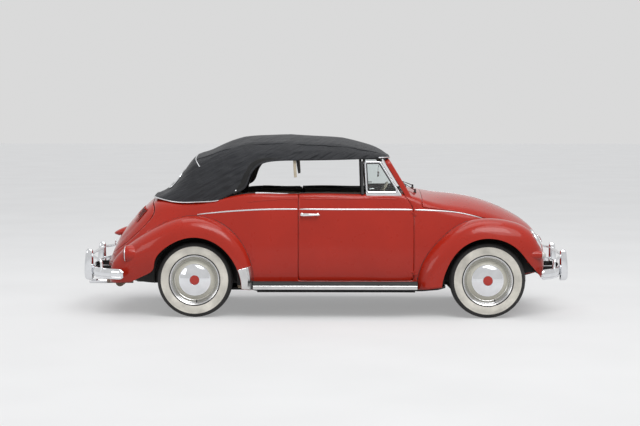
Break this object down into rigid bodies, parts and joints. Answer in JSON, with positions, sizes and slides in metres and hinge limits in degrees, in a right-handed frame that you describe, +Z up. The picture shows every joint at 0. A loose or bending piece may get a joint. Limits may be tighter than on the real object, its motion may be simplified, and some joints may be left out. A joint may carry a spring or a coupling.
{
  "type": "two-door convertible car",
  "caption": "Rear-engined convertible car with rounded wings, running boards, raised fabric top, opening doors, hood and engine lid, steered front wheels.",
  "frame": {"origin": "on the ground under the middle of the overall box", "axes": "+X forward, +Y to the car's left, +Z up"},
  "size_m": [4.07, 1.544, 1.4939],
  "materials": {
    "body_paint": "gloss",
    "black_paint": "satin",
    "chrome": "polished",
    "glass": "clear",
    "lens_glass": "ribbed",
    "top_fabric": "woven",
    "seat_leather": "grained",
    "tyre": "matt",
    "wheel_paint": "gloss",
    "cast": "rough",
    "alloy": "cast",
    "steel": "dull",
    "plastic": "gloss"
  },
  "bodies": {
    "body": {"body_shell": "body_paint", "dashboard": "body_paint", "engine_block": "alloy", "exhaust": "steel", "firewall_and_luggage_floor": "black_paint", "floor_pan": "black_paint", "front_axle": "black_paint", "front_bumper": "chrome", "front_seats": "seat_leather", "front_wings": "body_paint", "headlight_lenses": "lens_glass", "headlights": "chrome", "rear_bulkhead": "black_paint", "rear_bumper": "chrome", "rear_seat": "seat_leather", "rear_window": "glass", "rear_wings": "body_paint", "running_boards": "black_paint", "seat_frames": "black_paint", "soft_top": "top_fabric", "steering_column": "black_paint", "tail_lights": "body_paint", "top_frame": "black_paint", "transaxle": "cast", "turn_signals": "chrome", "windshield_frame": "body_paint", "windshield_glass": "glass"},
    "door_left": {"door_left": "body_paint", "vent_frame_left": "chrome", "vent_glass_left": "glass", "door_handle_left": "chrome"},
    "knuckle_left": {"knuckle_left": "steel"},
    "door_right": {"door_right": "body_paint", "vent_frame_right": "chrome", "vent_glass_right": "glass", "door_handle_right": "chrome"},
    "knuckle_right": {"knuckle_right": "steel"},
    "wheel_front_right": {"tyre_front_right": "tyre", "rim_front_right": "wheel_paint"},
    "wheel_front_left": {"tyre_front_left": "tyre", "rim_front_left": "wheel_paint"},
    "wheel_rear_right": {"tyre_rear_right": "tyre", "rim_rear_right": "wheel_paint"},
    "wheel_rear_left": {"tyre_rear_left": "tyre", "rim_rear_left": "wheel_paint"},
    "hood": {"hood": "body_paint"},
    "engine_lid": {"engine_lid": "body_paint"},
    "steering_wheel": {"steering_wheel": "plastic"}
  },
  "joints": [
    {"name": "door_left_hinge", "type": "hinge", "parent": "body", "child": "door_left", "pos_m": [0.73, 0.674, 0.608], "axis": [0, 0, -1], "range_deg": [0, 65]},
    {"name": "door_right_hinge", "type": "hinge", "parent": "body", "child": "door_right", "pos_m": [0.73, -0.674, 0.608], "axis": [0, 0, 1], "range_deg": [0, 65]},
    {"name": "hood_hinge", "type": "hinge", "parent": "body", "child": "hood", "pos_m": [0.797, 0, 1.024], "axis": [0, -1, 0], "range_deg": [0, 55]},
    {"name": "engine_lid_hinge", "type": "hinge", "parent": "body", "child": "engine_lid", "pos_m": [-1.457, 0, 0.957], "axis": [0, 1, 0], "range_deg": [0, 60]},
    {"name": "steer_left", "type": "hinge", "parent": "body", "child": "knuckle_left", "pos_m": [1.33, 0.566, 0.31], "axis": [0, 0, 1], "range_deg": [-30, 30]},
    {"name": "steer_right", "type": "hinge", "parent": "body", "child": "knuckle_right", "pos_m": [1.33, -0.566, 0.31], "axis": [0, 0, 1], "range_deg": [-30, 30]},
    {"name": "steering_wheel_turn", "type": "hinge", "parent": "body", "child": "steering_wheel", "pos_m": [0.44, 0.33, 0.897], "axis": [-0.866, 0, 0.5], "range_deg": [-430, 430]},
    {"name": "wheel_front_left_spin", "type": "hinge", "parent": "knuckle_left", "child": "wheel_front_left", "pos_m": [1.33, 0.645, 0.31], "axis": [0, 1, 0], "continuous": true},
    {"name": "wheel_front_right_spin", "type": "hinge", "parent": "knuckle_right", "child": "wheel_front_right", "pos_m": [1.33, -0.645, 0.31], "axis": [0, 1, 0], "continuous": true},
    {"name": "wheel_rear_left_spin", "type": "hinge", "parent": "body", "child": "wheel_rear_left", "pos_m": [-1.07, 0.625, 0.31], "axis": [0, 1, 0], "continuous": true},
    {"name": "wheel_rear_right_spin", "type": "hinge", "parent": "body", "child": "wheel_rear_right", "pos_m": [-1.07, -0.625, 0.31], "axis": [0, 1, 0], "continuous": true}
  ],
  "couplings": [
    {"joint": "steer_right", "follows": "steer_left", "ratio": 1},
    {"joint": "steering_wheel_turn", "follows": "steer_left", "ratio": 14.3}
  ]
}
